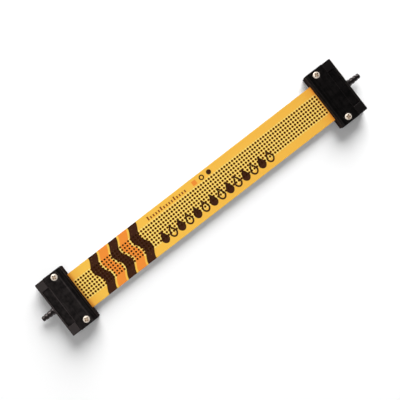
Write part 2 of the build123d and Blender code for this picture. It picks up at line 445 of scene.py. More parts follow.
def moulded_plastic(name, dark, light, roughness, grain_scale, grain_height, specular, wear=None):
    """Moulded plastic or rubber: slow shifts of shade and gloss, and a fine surface grain.

    Wear, where it is given, works out how much light each spot throws back.
    """
    made, tree, shader, place = surface(name)
    slow = grain(tree, place, scale=0.18, detail=3.0)
    fine = grain(tree, place, scale=grain_scale)
    feed(tree, shader, "Base Color", lay(tree, fade(tree, slow, low=0.3, high=0.7), dark, light))
    mixed = calc(tree, "MULTIPLY", fine, 1 - SLOW_GLOSS_SHARE)
    mixed = calc(tree, "MULTIPLY_ADD", slow, SLOW_GLOSS_SHARE, mixed)
    smooth, dull = roughness
    feed(tree, shader, "Roughness", fade(tree, mixed, low=0.25, high=0.75, start=smooth, end=dull))
    shader.inputs["Specular IOR Level"].default_value = specular
    shader.inputs["Specular Tint"].default_value = WARM_GLOSS
    if wear:
        feed(tree, shader, "Specular IOR Level", wear(tree, place, fine, specular))
    raise_by(tree, shader, fine, grain_height)
    return made


def lid_wear(tree, place, fine, specular):
    """Shine of a handled lid: dull on the chamfer, patchy and scuffed on top, with two worn ridges.

    The ridges are worn more at the left end.
    """
    x, y, _ = axes(tree, place)
    out = calc(tree, "ABSOLUTE", x)
    aside = calc(tree, "ABSOLUTE", y)

    top_start = BOX_FACE + CHAMFER_RIDGE["distance"]
    dull_end = top_start - CHAMFER_RIDGE["half_width"]
    level = fade(tree, out, dull_end, top_start, start=specular * CHAMFER_SHINE_SHARE, end=specular)
    patches = grain(tree, place, scale=0.3, detail=5.0, roughness=0.65)
    level = both(tree, level, fade(tree, patches, low=0.34, high=0.66, start=0.45, end=1.5))
    sockets = {"Vector": place, "Rotation": SCUFF_TURN, "Scale": SCUFF_STRETCH}
    stroked = add(tree, "ShaderNodeMapping", sockets).outputs[0]
    scuffs = grain(tree, stroked, scale=0.5, detail=4.0, roughness=0.65)
    level = calc(tree, "ADD", level, fade(tree, scuffs, low=0.54, high=0.78, end=SCUFF_SHINE))

    handled = fade(tree, x, -RIDGE_SHIFT_REACH, RIDGE_SHIFT_REACH, start=1.0, end=RIGHT_RIDGE_SHARE)
    worn = both(tree, handled, fade(tree, fine, low=0.25, high=0.6, start=0.6, end=1.0))
    for ridge in (CHAMFER_RIDGE, TONGUE_RIDGE):
        off = gap(tree, out, BOX_FACE + ridge["distance"])
        line = fade(tree, off, ridge["half_width"], 0.0, end=ridge["shine"])
        line = both(tree, line, fade(tree, aside, ridge["reach"] + RIDGE_END, ridge["reach"]))
        level = calc(tree, "ADD", level, both(tree, line, worn))
    return level


LID_TOP = moulded_plastic(
    "lid_black_smooth", srgb(6, 6, 6), srgb(10, 9, 9),
    roughness=(0.34, 0.44), grain_scale=3.0, grain_height=0.006, specular=0.15, wear=lid_wear)
# Painted highlight: the lid's eased edges are paler than its top, so they read as lit lines
LID_EDGE_PAINTED_HIGHLIGHT = moulded_plastic(
    "lid_edge_painted_highlight", srgb(14, 12, 12), srgb(20, 17, 17),
    roughness=(0.36, 0.48), grain_scale=3.0, grain_height=0.006, specular=0.25)
# Painted light: the lid's sides are far paler than its top, as if lit, and have no gloss
LID_SIDE_PAINTED_LIGHT = moulded_plastic(
    "lid_side_painted_light", srgb(38, 31, 30), srgb(46, 38, 36),
    roughness=(0.70, 0.85), grain_scale=4.0, grain_height=0.02, specular=0.0)
BASE_TOP = moulded_plastic(
    "base_black_grain", srgb(11, 10, 10), srgb(16, 14, 14),
    roughness=(0.30, 0.38), grain_scale=4.0, grain_height=0.006, specular=0.4)
# Painted highlight: the base's eased edges are paler than its top, so they read as lit lines
BASE_EDGE_PAINTED_HIGHLIGHT = moulded_plastic(
    "base_edge_painted_highlight", srgb(20, 18, 18), srgb(27, 24, 24),
    roughness=(0.40, 0.52), grain_scale=4.0, grain_height=0.008, specular=0.4)
# Painted light: the base's sides are far paler than its top, as if lit, and have no gloss
BASE_SIDE_PAINTED_LIGHT = moulded_plastic(
    "base_side_painted_light", srgb(36, 30, 29), srgb(44, 37, 35),
    roughness=(0.70, 0.85), grain_scale=4.0, grain_height=0.02, specular=0.0)
RELIEF_RUBBER = moulded_plastic(
    "relief_black_rubber", srgb(10, 9, 9), srgb(15, 13, 13),
    roughness=(0.18, 0.28), grain_scale=3.5, grain_height=0.006, specular=0.6)
PAD_RUBBER = moulded_plastic(
    "pad_grey_rubber", srgb(52, 52, 54), srgb(66, 66, 68),
    roughness=(0.6, 0.75), grain_scale=3.0, grain_height=0.03, specular=0.4)
SENSING_COAT = moulded_plastic(
    "sensing_coat_dark", srgb(52, 23, 0), srgb(64, 30, 0),
    roughness=(0.65, 0.8), grain_scale=3.0, grain_height=0.02, specular=0.04)


# Printed cover film

FILM_LEFT = srgb(243, 191, 74)
# Painted shade: the film's yellow at its right end, darker and warmer than at its left
FILM_RIGHT_PAINTED_SHADE = srgb(240, 181, 70)
FILM_CLOUD = srgb(238, 182, 72)
FILM_FLECK = srgb(246, 200, 90)
FILM_PALE = srgb(248, 233, 134)
FILM_LIP = srgb(178, 104, 0)
# Painted shade and warm bounced light on the film's ends next to the boxes
FILM_END_SHADE = srgb(234, 142, 48)
ORANGE_INK = srgb(237, 140, 52)
RUST_INK = srgb(126, 44, 22)
BROWN_INK = srgb(59, 28, 12)
FILM_SPECULAR = 0.1
INK_DULLNESS = 0.4


def hole_distance(tree, x, y):
    """How far a spot lies from the middle of the nearest hole."""
    offsets = []
    for value in (x, y):
        from_between = gap(tree, past_step(tree, value, HOLE_PITCH), HOLE_PITCH / 2)
        offsets.append(calc(tree, "SUBTRACT", HOLE_PITCH / 2, from_between))
    return line_length(tree, *offsets)


def hole_field(tree, x, y):
    """1 on the part of the film that has holes."""
    half_length = HOLE_COLUMNS * HOLE_PITCH / 2
    half_width = HOLE_ROWS * HOLE_PITCH / 2 + FIELD_BORDER
    along = within(tree, x, -half_length, half_length, FIELD_EDGE)
    return both(tree, within(tree, y, -half_width, half_width, FIELD_EDGE), along)


def film_yellow(tree, place, x, fine):
    """Yellow with painted shade that darkens it towards the right end, and shifts in slow clouds and in
    flecks.
    """
    slow = grain(tree, place, scale=0.05, detail=3.0)
    # Painted shade: darker and warmer from the left end to the right end
    colour = lay(tree, fade(tree, x, -SHADE_SHIFT_REACH, SHADE_SHIFT_REACH), FILM_LEFT, FILM_RIGHT_PAINTED_SHADE)
    colour = lay(tree, fade(tree, slow, low=0.35, high=0.75, end=0.3), colour, FILM_CLOUD)
    return lay(tree, fade(tree, fine, low=0.45, high=0.8, end=0.25), colour, FILM_FLECK)


def film_tints(tree, colour, x, off, field):
    """Paler film between the holes, darker lips round them, and painted shade and warm bounced light on
    the ends by the boxes.
    """
    pale = fade(tree, off, PALE_START, PALE_FULL, start=0.25, end=0.85)
    colour = lay(tree, both(tree, field, pale), colour, FILM_PALE)
    lip = fade(tree, off, LIP_START, LIP_FULL, end=0.85)
    colour = lay(tree, both(tree, field, lip), colour, FILM_LIP)

    out = calc(tree, "ABSOLUTE", x)
    # Painted shade: darker, warmer bands on the film next to each box
    ends = 0.0
    for start, full, strength in END_SHADE_TINTS:
        tint = fade(tree, out, BOX_FACE - start, BOX_FACE - full, end=strength)
        ends = calc(tree, "ADD", ends, tint)
    spared = calc(tree, "MULTIPLY_ADD", field, -END_SHADE_SPARED, 1.0)
    return lay(tree, both(tree, ends, spared), colour, FILM_END_SHADE)


def wave_bands(tree, x, y):
    """Wavy bands across the film, brown and orange in turn, as a mask for each ink."""
    swing = calc(tree, "SINE", calc(tree, "MULTIPLY", y, BAND_SWING_RATE))
    bent = calc(tree, "MULTIPLY_ADD", swing, BAND_SWING, x)
    inks = [0.0, 0.0]
    for number in range(BAND_COUNT):
        start = BAND_START + number * BAND_PITCH
        band = within(tree, bent, start, start + BAND_WIDTH, INK_EDGE)
        inks[number % 2] = either(tree, inks[number % 2], band)
    return inks


def drop(tree, across, up, width, height):
    """1 inside an upright drop of that width and height, whose foot is at up 0."""
    profile = add(tree, "ShaderNodeFloatCurve", {"Value": calc(tree, "DIVIDE", up, height)})
    curve = profile.mapping.curves[0]
    for point, share in zip(curve.points, (0.0, 1.0)):
        point.location = (share, 0.0)
    for share, half_width in DROP_OUTLINE:
        curve.points.new(share, half_width)
    profile.mapping.update()
    half = calc(tree, "MULTIPLY", profile.outputs[0], width / 2)
    spare = calc(tree, "SUBTRACT", half, calc(tree, "ABSOLUTE", across))
    return both(tree, fade(tree, spare, -INK_EDGE, INK_EDGE), within(tree, up, 0.0, height, ROW_EDGE))


def drop_row(tree, x, y):
    """A row of drops along the film, of which every second one is hollow."""
    along = calc(tree, "SUBTRACT", x, DROP_START)
    across = calc(tree, "SUBTRACT", past_step(tree, along, DROP_PITCH), DROP_PITCH / 2)
    whole = drop(tree, across, calc(tree, "SUBTRACT", y, DROP_FOOT), DROP_WIDTH, DROP_HEIGHT)
    core = drop(tree, across, calc(tree, "SUBTRACT", y, HOLLOW_FOOT), HOLLOW_WIDTH, HOLLOW_HEIGHT)
    second = calc(tree, "GREATER_THAN", past_step(tree, along, 2 * DROP_PITCH), DROP_PITCH)
    drops = calc(tree, "SUBTRACT", whole, both(tree, core, second))
    return both(tree, within(tree, x, DROP_START, DROP_START + DROP_COUNT * DROP_PITCH, ROW_EDGE), drops)


def tick_scale(tree, x, y):
    """A scale of ticks along the film, of which the first of each group is longer."""
    along = calc(tree, "SUBTRACT", x, SCALE_START)
    margin = (TICK_PITCH - TICK_WIDTH) / 2
    tick = within(tree, past_step(tree, along, TICK_PITCH), margin, margin + TICK_WIDTH, MARK_EDGE)
    group = past_step(tree, along, LONG_TICK_EVERY * TICK_PITCH)
    first = within(tree, group, 0.0, TICK_PITCH, MARK_EDGE)
    longer = both(tree, first, within(tree, y, TICK_FOOT, LONG_TICK_TOP, MARK_EDGE))
    height = either(tree, longer, within(tree, y, TICK_FOOT, TICK_TOP, MARK_EDGE))
    return both(tree, both(tree, tick, height), within(tree, x, SCALE_START, SCALE_END, ROW_EDGE))


def ring_and_disc(tree, x, y):
    """A ring and a disc beside each other."""
    up = calc(tree, "SUBTRACT", y, MARK_LEVEL)
    from_ring = line_length(tree, calc(tree, "SUBTRACT", x, RING_PLACE), up)
    from_disc = line_length(tree, calc(tree, "SUBTRACT", x, DISC_PLACE), up)
    ring = within(tree, from_ring, RING_BORE, RING_RADIUS, MARK_EDGE)
    return either(tree, ring, fade(tree, from_disc, DISC_RADIUS + MARK_EDGE, DISC_RADIUS - MARK_EDGE))


def tile(tree, x, y):
    """A small square."""
    along = within(tree, x, TILE_LEFT, TILE_LEFT + TILE_SIDE, MARK_EDGE)
    return both(tree, along, within(tree, y, TILE_FOOT, TILE_FOOT + TILE_SIDE, MARK_EDGE))


def printed_film(name):
    """Yellow cover film with tints round its holes and at its ends, and a plain print in three inks."""
    made, tree, shader, place = surface(name)
    x, y, _ = axes(tree, place)
    fine = grain(tree, place, scale=1.3, detail=3.0)
    off = hole_distance(tree, x, y)
    field = hole_field(tree, x, y)
    colour = film_tints(tree, film_yellow(tree, place, x, fine), x, off, field)

    brown, orange = wave_bands(tree, x, y)
    brown = either(tree, brown, drop_row(tree, x, y))
    brown = either(tree, brown, ring_and_disc(tree, x, y))
    orange = either(tree, orange, tile(tree, x, y))
    rust = tick_scale(tree, x, y)
    cover = fade(tree, fine, low=0.2, high=0.42, start=0.86, end=1.0)
    for mask, ink in ((orange, ORANGE_INK), (rust, RUST_INK), (brown, BROWN_INK)):
        colour = lay(tree, both(tree, mask, cover), colour, ink)
    feed(tree, shader, "Base Color", colour)

    inked = either(tree, brown, orange)
    dull = calc(tree, "MULTIPLY_ADD", inked, INK_DULLNESS, fine)
    feed(tree, shader, "Roughness", fade(tree, dull, low=0.2, high=1.1, start=0.42, end=0.66))
    shader.inputs["Specular IOR Level"].default_value = FILM_SPECULAR
    height = calc(tree, "MULTIPLY", inked, INK_HEIGHT)
    height = calc(tree, "MULTIPLY_ADD", fine, FLECK_HEIGHT, height)
    lip = both(tree, field, fade(tree, off, LIP_FOOT, LIP_CREST))
    height = calc(tree, "MULTIPLY_ADD", lip, LIP_HEIGHT, height)
    raise_by(tree, shader, height, FILM_RELIEF)
    return made


COVER_FILM = printed_film("cover_film_printed")


# Carrier film, circuit board and metals

def carrier_film(name):
    """Milky carrier film, a little cloudy."""
    made, tree, shader, place = surface(name)
    cloud = grain(tree, place, scale=0.12, detail=4.0)
    fine = grain(tree, place, scale=2.0)
    milky = lay(tree, fade(tree, cloud, low=0.3, high=0.7), srgb(214, 212, 206), srgb(224, 222, 217))
    feed(tree, shader, "Base Color", milky)
    feed(tree, shader, "Roughness", fade(tree, fine, low=0.3, high=0.7, start=0.35, end=0.5))
    raise_by(tree, shader, cloud, most=0.03)
    return made


def circuit_board(name):
    """Green solder mask over a fine glass weave."""
    made, tree, shader, place = surface(name)
    weave = add(tree, "ShaderNodeTexBrick", {
        "Vector": place,
        "Scale": 3.0,
        "Color1": srgb(22, 92, 52),
        "Color2": srgb(28, 104, 58),
        "Mortar": srgb(18, 82, 46),
        "Mortar Size": 0.06,
    })
    feed(tree, shader, "Base Color", weave.outputs["Color"])
    fine = grain(tree, place, scale=4.0)
    feed(tree, shader, "Roughness", fade(tree, fine, low=0.3, high=0.7, start=0.3, end=0.45))
    raise_by(tree, shader, weave.outputs["Fac"], most=0.01)
    return made


def plated_metal(name, base, shade, roughness, brush_scale):
    """Plated, printed or rolled metal: fine marks in its gloss and a slow tarnish."""
    made, tree, shader, place = surface(name)
    tarnish = grain(tree, place, scale=0.5, detail=4.0)
    marks = grain(tree, place, scale=brush_scale)
    feed(tree, shader, "Base Color", lay(tree, fade(tree, tarnish, low=0.42, high=0.75), base, shade))
    smooth, dull = roughness
    feed(tree, shader, "Roughness", fade(tree, marks, low=0.3, high=0.7, start=smooth, end=dull))
    shader.inputs["Metallic"].default_value = 1.0
    raise_by(tree, shader, marks, most=0.01)
    return made


CARRIER_FILM = carrier_film("carrier_film_milky")
BOARD_GREEN = circuit_board("board_green_mask")
SILVER_INK = plated_metal(
    "line_silver_ink", srgb(186, 186, 184), srgb(160, 160, 158), roughness=(0.4, 0.55), brush_scale=5.0)
INSERT_BRASS = plated_metal(
    "insert_brass", srgb(206, 168, 92), srgb(176, 134, 66), roughness=(0.25, 0.42), brush_scale=6.0)
CONTACT_BRASS = plated_metal(
    "contact_brass", srgb(214, 180, 108), srgb(186, 146, 80), roughness=(0.22, 0.36), brush_scale=5.0)
POST_TIN = plated_metal(
    "post_tin", srgb(196, 196, 194), srgb(168, 168, 168), roughness=(0.3, 0.45), brush_scale=5.0)


# Screw plating

HEAD_CREAM = srgb(243, 231, 216)
HEAD_TARNISH = srgb(226, 210, 193)
# Painted shade on the heads: tan towards the middle and in the recess's heart, brown out in its arms
HEAD_SHADE_TAN = srgb(198, 170, 140)
RECESS_SHADE_TAN = srgb(207, 182, 153)
RECESS_SHADE_BROWN = srgb(108, 80, 56)
HEAD_METALLIC = 0.35
TURNED_RING_SHARE = 0.25


def screw_plating(name):
    """Warm nickel with turned rings, and painted shade: tan towards the middle and brown in the cross
    recess.
    """
    made, tree, shader, place = surface(name)
    low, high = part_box("right_lid_screws")
    seat_x = (low.x + high.x) / 2 / MM
    seat_y = high.y / MM - HEAD_DIAMETER / 2
    x, y, z = axes(tree, place)
    dx = calc(tree, "SUBTRACT", calc(tree, "ABSOLUTE", x), seat_x)
    dy = calc(tree, "SUBTRACT", calc(tree, "ABSOLUTE", y), seat_y)
    reach = line_length(tree, dx, dy)
    share = calc(tree, "DIVIDE", reach, HEAD_DIAMETER / 2 * (1 - HEAD_DRAFT))
    dome = calc(tree, "MULTIPLY", calc(tree, "POWER", share, HEAD_DOME_POWER), HEAD_DOME)
    depth = calc(tree, "SUBTRACT", calc(tree, "SUBTRACT", high.z / MM, z), dome)

    tarnish = grain(tree, place, scale=1.1, detail=4.0)
    colour = lay(tree, fade(tree, tarnish, low=0.4, high=0.75), HEAD_CREAM, HEAD_TARNISH)
    # Painted shade: tan towards the middle of the head, and brown deep in the cross recess
    colour = lay(tree, fade(tree, reach, TAN_START, TAN_FULL, end=0.5), colour, HEAD_SHADE_TAN)
    recess = both(tree, fade(tree, depth, RECESS_TINT_TOP, RECESS_TINT_DEPTH),
                  fade(tree, reach, RECESS_TINT_END, RECESS_TINT_FULL))
    shade = lay(tree, fade(tree, reach, RECESS_HEART, RECESS_ARMS), RECESS_SHADE_TAN, RECESS_SHADE_BROWN)
    feed(tree, shader, "Base Color", lay(tree, recess, colour, shade))

    rings = calc(tree, "SINE", calc(tree, "MULTIPLY", reach, TURNED_RING_RATE))
    marks = calc(tree, "MULTIPLY_ADD", rings, TURNED_RING_SHARE, grain(tree, place, scale=6.0))
    feed(tree, shader, "Roughness", fade(tree, marks, low=0.0, high=1.0, start=0.40, end=0.56))
    shader.inputs["Metallic"].default_value = HEAD_METALLIC
    raise_by(tree, shader, marks, most=0.006)
    return made


SCREW_NICKEL = screw_plating("screw_warm_nickel")


# Perforated cover film on its sensing coat

def sheet_margin(tree, given, field_x, field_y):
    """The ring of cells from the field of holes out to the sheet's edges.

    The grid has one cell more than holes at each end of a row, and so three points more than holes.
    """
    pitch = given["Pitch"]
    grid = add(tree, "GeometryNodeMeshGrid", {
        "Size X": calc(tree, "MULTIPLY_ADD", pitch, 2.0, field_x),
        "Size Y": calc(tree, "MULTIPLY_ADD", pitch, 2.0, field_y),
        "Vertices X": calc(tree, "ADD", given["Columns"], 3.0),
        "Vertices Y": calc(tree, "ADD", given["Rows"], 3.0),
    }).outputs["Mesh"]
    x, y, _ = axes(tree, tree.nodes.new("GeometryNodeInputPosition").outputs[0])

    def beyond(value, field):
        """1 past the field, with a quarter of a pitch to spare."""
        limit = calc(tree, "MULTIPLY_ADD", pitch, 0.25, halve(tree, field))
        return calc(tree, "GREATER_THAN", calc(tree, "ABSOLUTE", value), limit)

    def spread(value, field, full):
        """The same value in the field, and the sheet's edge past it."""
        edge = both(tree, calc(tree, "SIGN", value), halve(tree, full))
        outside = beyond(value, field)
        kept = both(tree, value, calc(tree, "SUBTRACT", 1.0, outside))
        return calc(tree, "MULTIPLY_ADD", edge, outside, kept)

    inside_x = calc(tree, "SUBTRACT", 1.0, beyond(x, field_x))
    inside_y = calc(tree, "SUBTRACT", 1.0, beyond(y, field_y))
    sockets = {"Geometry": grid, "Selection": both(tree, inside_x, inside_y)}
    ring = add(tree, "GeometryNodeDeleteGeometry", sockets, domain="FACE").outputs[0]
    place = vector(tree, spread(x, field_x, given["Length"]), spread(y, field_y, given["Width"]))
    return add(tree, "GeometryNodeSetPosition", {"Geometry": ring, "Position": place}).outputs[0]


def hole_cells(tree, given, field_x, field_y):
    """A square cell with a round hole on each place of the field."""
    pitch = given["Pitch"]
    rim = add(tree, "GeometryNodeCurvePrimitiveCircle", {
        "Resolution": given["Hole Sides"],
        "Radius": halve(tree, given["Hole Diameter"]),
    }).outputs["Curve"]
    square = add(tree, "GeometryNodeCurvePrimitiveQuadrilateral", {0: pitch, 1: pitch}).outputs[0]
    cell = add(tree, "GeometryNodeFillCurve", {0: join(tree, rim, square)}).outputs[0]
    seats = add(tree, "GeometryNodeMeshGrid", {
        "Size X": calc(tree, "SUBTRACT", field_x, pitch),
        "Size Y": calc(tree, "SUBTRACT", field_y, pitch),
        "Vertices X": given["Columns"],
        "Vertices Y": given["Rows"],
    }).outputs["Mesh"]
    cells = add(tree, "GeometryNodeInstanceOnPoints", {"Points": seats, "Instance": cell}).outputs[0]
    return add(tree, "GeometryNodeRealizeInstances", {0: cells}).outputs[0]


def perforation_tree():
    """A sheet with a field of round holes, and the coat beneath it."""
    tree, given = geometry_tree("perforated_sheet", [
        ("Length", "Float"), ("Width", "Float"), ("Thickness", "Float"), ("Level", "Float"),
        ("Pitch", "Float"), ("Hole Diameter", "Float"), ("Hole Sides", "Int"),
        ("Columns", "Int"), ("Rows", "Int"), ("Coat Thickness", "Float"),
        ("Sheet Finish", "Material"), ("Coat Finish", "Material"),
    ])
    field_x = both(tree, given["Columns"], given["Pitch"])
    field_y = both(tree, given["Rows"], given["Pitch"])
    margin = sheet_margin(tree, given, field_x, field_y)
    plate = weld(tree, margin, hole_cells(tree, given, field_x, field_y))
    upper = add(tree, "GeometryNodeExtrudeMesh", {
        "Mesh": plate,
        "Offset": vector(tree, z=given["Thickness"]),
        "Offset Scale": 1.0,
        "Individual": False,
    }).outputs["Mesh"]
    lower = add(tree, "GeometryNodeFlipFaces", {0: plate}).outputs[0]
    level = calc(tree, "ADD", given["Level"], given["Coat Thickness"])
    sheet = lift(tree, weld(tree, upper, lower), level)

    size = vector(tree, given["Length"], given["Width"], given["Coat Thickness"])
    coat = add(tree, "GeometryNodeMeshCube", {"Size": size}).outputs["Mesh"]
    middle = calc(tree, "ADD", given["Level"], halve(tree, given["Coat Thickness"]))
    coat = lift(tree, coat, middle)
    sheet = painted(tree, sheet, given["Sheet Finish"])
    end_tree(tree, join(tree, sheet, painted(tree, coat, given["Coat Finish"])))
    return tree


def make_cover_film():
    """The printed cover film with its coat."""
    low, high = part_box("perforated_film")
    piece = grow("printed_cover_film", perforation_tree(), {
        "Length": high.x - low.x,
        "Width": high.y - low.y,
        "Thickness": high.z - low.z - COAT_THICKNESS * MM,
        "Level": low.z,
        "Pitch": HOLE_PITCH * MM,
        "Hole Diameter": HOLE_DIAMETER * MM,
        "Hole Sides": HOLE_SIDES,
        "Columns": HOLE_COLUMNS,
        "Rows": HOLE_ROWS,
        "Coat Thickness": COAT_THICKNESS * MM,
        "Sheet Finish": COVER_FILM,
        "Coat Finish": SENSING_COAT,
    })
    settle(piece, "yellow_film", "perforated_film")


# Lid screws

def domed_head(tree, given, x, y, z):
    """A round head that drops towards its rim and draws in towards its top."""
    radius = halve(tree, given["Head Diameter"])
    half_height = halve(tree, given["Head Height"])
    head = add(tree, "GeometryNodeMeshCylinder", {
        "Vertices": given["Sides"],
        "Side Segments": HEAD_SIDE_STEPS,
        "Fill Segments": HEAD_TOP_STEPS,
        "Radius": radius,
        "Depth": given["Head Height"],
    }).outputs["Mesh"]
    share = calc(tree, "DIVIDE", line_length(tree, x, y), radius)
    upward = fade(tree, z, calc(tree, "MULTIPLY", half_height, -1.0), half_height)
    drop_by = both(tree, calc(tree, "POWER", share, HEAD_DOME_POWER), given["Dome"])
    sink = calc(tree, "MULTIPLY", both(tree, drop_by, upward), -1.0)
    pull = calc(tree, "MULTIPLY", calc(tree, "POWER", upward, HEAD_DRAFT_POWER), -HEAD_DRAFT)
    move = vector(tree, both(tree, x, pull), both(tree, y, pull), sink)
    return add(tree, "GeometryNodeSetPosition", {"Geometry": head, "Offset": move}).outputs[0]


def cross_recess(tree, given, place, z, head):
    """A head with two tapered slots cut across each other."""
    depth = calc(tree, "MULTIPLY", given["Recess Depth"], 2.0)
    size = vector(tree, given["Recess Span"], given["Recess Width"], depth)
    arm = add(tree, "GeometryNodeMeshCube", {"Size": size}).outputs["Mesh"]
    narrow = add(tree, "ShaderNodeVectorMath", {0: place, 1: RECESS_TAPER}, operation="MULTIPLY")
    arm = add(tree, "GeometryNodeSetPosition", {
        "Geometry": arm,
        "Selection": calc(tree, "LESS_THAN", z, 0.0),
        "Position": narrow.outputs[0],
    }).outputs[0]
    crown = vector(tree, z=halve(tree, given["Head Height"]))
    for turn in (0.0, math.pi / 2):
        sockets = {"Geometry": arm, "Translation": crown, "Rotation": (0.0, 0.0, turn)}
        cutter = add(tree, "GeometryNodeTransform", sockets).outputs[0]
        cut = add(tree, "GeometryNodeMeshBoolean", {"Mesh 1": head, "Mesh 2": cutter},
                  operation="DIFFERENCE", solver="EXACT")
        head = cut.outputs["Mesh"]
    return head


def screw_tree():
    """Domed pan-head screws with a tapered cross recess, one on each seat of a rectangle."""
    tree, given = geometry_tree("pan_head_screws", [
        ("Head Diameter", "Float"), ("Head Height", "Float"), ("Dome", "Float"), ("Sides", "Int"),
        ("Recess Span", "Float"), ("Recess Width", "Float"), ("Recess Depth", "Float"),
        ("Shank Diameter", "Float"), ("Shank Length", "Float"), ("Seat Level", "Float"),
        ("Spread X", "Float"), ("Spread Y", "Float"), ("Finish", "Material"),
    ])
    place = tree.nodes.new("GeometryNodeInputPosition").outputs[0]
    x, y, z = axes(tree, place)
    head = cross_recess(tree, given, place, z, domed_head(tree, given, x, y, z))
    shank = add(tree, "GeometryNodeMeshCylinder", {
        "Vertices": SHANK_SIDES,
        "Side Segments": 1,
        "Radius": halve(tree, given["Shank Diameter"]),
        "Depth": given["Shank Length"],
    }).outputs["Mesh"]
    whole_length = calc(tree, "ADD", given["Head Height"], given["Shank Length"])
    screw = join(tree, head, lift(tree, shank, calc(tree, "MULTIPLY", whole_length, -0.5)))

    seats = add(tree, "GeometryNodeMeshGrid", {
        "Size X": given["Spread X"],
        "Size Y": given["Spread Y"],
        "Vertices X": 2,
        "Vertices Y": 2,
    }).outputs["Mesh"]
    seats = lift(tree, seats, calc(tree, "ADD", given["Seat Level"], halve(tree, given["Head Height"])))
    turns = add(tree, "FunctionNodeRandomValue", {
        "Min": (0.0, 0.0, RECESS_TURN_LEAST),
        "Max": (0.0, 0.0, RECESS_TURN_MOST),
        "Seed": RECESS_TURN_SEED,
    }, data_type="FLOAT_VECTOR").outputs[0]
    sockets = {"Points": seats, "Instance": screw, "Rotation": turns}
    screws = add(tree, "GeometryNodeInstanceOnPoints", sockets).outputs[0]
    screws = add(tree, "GeometryNodeRealizeInstances", {0: screws}).outputs[0]
    end_tree(tree, painted(tree, screws, given["Finish"]))
    return tree


def make_lid_screws():
    """The four lid screws of both boxes."""
    low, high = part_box("right_lid_screws")
    piece = grow("pan_head_lid_screws", screw_tree(), {
        "Head Diameter": HEAD_DIAMETER * MM,
        "Head Height": HEAD_HEIGHT * MM,
        "Dome": HEAD_DOME * MM,
        "Sides": HEAD_SIDES,
        "Recess Span": RECESS_SPAN * MM,
        "Recess Width": RECESS_WIDTH * MM,
        "Recess Depth": RECESS_DEPTH * MM,
        "Shank Diameter": SHANK_DIAMETER * MM,
        "Shank Length": high.z - low.z - HEAD_HEIGHT * MM,
        "Seat Level": high.z - HEAD_HEIGHT * MM,
        "Spread X": low.x + high.x,
        "Spread Y": high.y - low.y - HEAD_DIAMETER * MM,
        "Finish": SCREW_NICKEL,
    })
    piece.data.shade_smooth()
    piece.data.set_sharp_from_angle(angle=HEAD_SHARP_ANGLE)
    settle(piece, "screw_nickel", "left_lid_screws", "right_lid_screws")


# Lids and bases

def moulded_copy(node, name, finishes, ease):
    """A CAD moulding with its edges eased, in finishes for its tops, its eased edges and its sides; the
    paler edge and side finishes are painted highlight and painted light.
    """
    mesh = NODES[node].data.copy()
    mesh.name = name
    mesh.materials.clear()
    for finish in finishes:
        mesh.materials.append(finish)
    top, edge, side = range(len(finishes))
    shape = bmesh.new()
    shape.from_mesh(mesh)
    bmesh.ops.remove_doubles(shape, verts=shape.verts, dist=MESH_WELD * MM)
    shape.normal_update()
    for face in shape.faces:
        face.smooth = False
        # Painted light: side-facing faces take the paler side finish, the rest the top finish
        face.material_index = side if abs(face.normal.z) < SIDE_NORMAL_HEIGHT else top
    shape.to_mesh(mesh)
    shape.free()
    piece = put_in_scene(name, mesh)
    bevel = piece.modifiers.new("eased_edges", "BEVEL")
    bevel.width = ease * MM
    bevel.segments = EASE_STEPS
    bevel.limit_method = "ANGLE"
    bevel.angle_limit = EASE_ANGLE
    bevel.use_clamp_overlap = False
    bevel.material = edge
    keep_result(piece, bevel)
    return piece


# Strain reliefs

def relief_profile():
    """The turned outline from the flange to the rounded tip and back along the bore, as (run, radius)."""
    low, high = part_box("right_strain_relief")
    length = (high.x - low.x) / MM
    taper = length - RELIEF_COLLAR

    def taper_radius(run):
        """The taper's radius at a run from the flange."""
        share = (run - RELIEF_COLLAR) / taper
        return RELIEF_ROOT_RADIUS + (RELIEF_TIP_RADIUS - RELIEF_ROOT_RADIUS) * share

    outline = [
        (0.0, RELIEF_BORE_RADIUS), (0.0, RELIEF_FLANGE_RADIUS),
        (RELIEF_FLANGE, RELIEF_FLANGE_RADIUS), (RELIEF_FLANGE, RELIEF_NECK_RADIUS),
        (RELIEF_NECK, RELIEF_NECK_RADIUS), (RELIEF_NECK, RELIEF_COLLAR_RADIUS),
        (RELIEF_COLLAR, RELIEF_COLLAR_RADIUS), (RELIEF_COLLAR, RELIEF_ROOT_RADIUS),
    ]
    for number in range(RELIEF_GROOVES):
        start = RELIEF_COLLAR + RELIEF_FIRST_GROOVE + number * RELIEF_GROOVE_PITCH
        end = start + RELIEF_GROOVE_WIDTH
        bottom = taper_radius(start) - RELIEF_GROOVE_DEPTH
        outline += [(start, taper_radius(start)), (start, bottom)]
        outline += [(end, bottom), (end, taper_radius(end))]
    for step in range(RELIEF_TIP_STEPS + 1):
        angle = math.pi / 2 * step / RELIEF_TIP_STEPS
        run = length - RELIEF_TIP_ROUND * (1 - math.sin(angle))
        outline.append((run, RELIEF_TIP_RADIUS - RELIEF_TIP_ROUND * (1 - math.cos(angle))))
    return outline + [(length, RELIEF_BORE_RADIUS)]


def eased_outline(outline):
    """The same closed outline with each corner cut into a short curve."""
    points = [Vector(point) for point in outline]
    eased = []
    for number, corner in enumerate(points):
        before = points[number - 1] - corner
        after = points[(number + 1) % len(points)] - corner
        cut = min(RELIEF_EASE, before.length * RELIEF_EASE_SHARE, after.length * RELIEF_EASE_SHARE)
        first = corner + before.normalized() * cut
        last = corner + after.normalized() * cut
        eased += [first, (first + last) / 4 + corner / 2, last]
    return eased


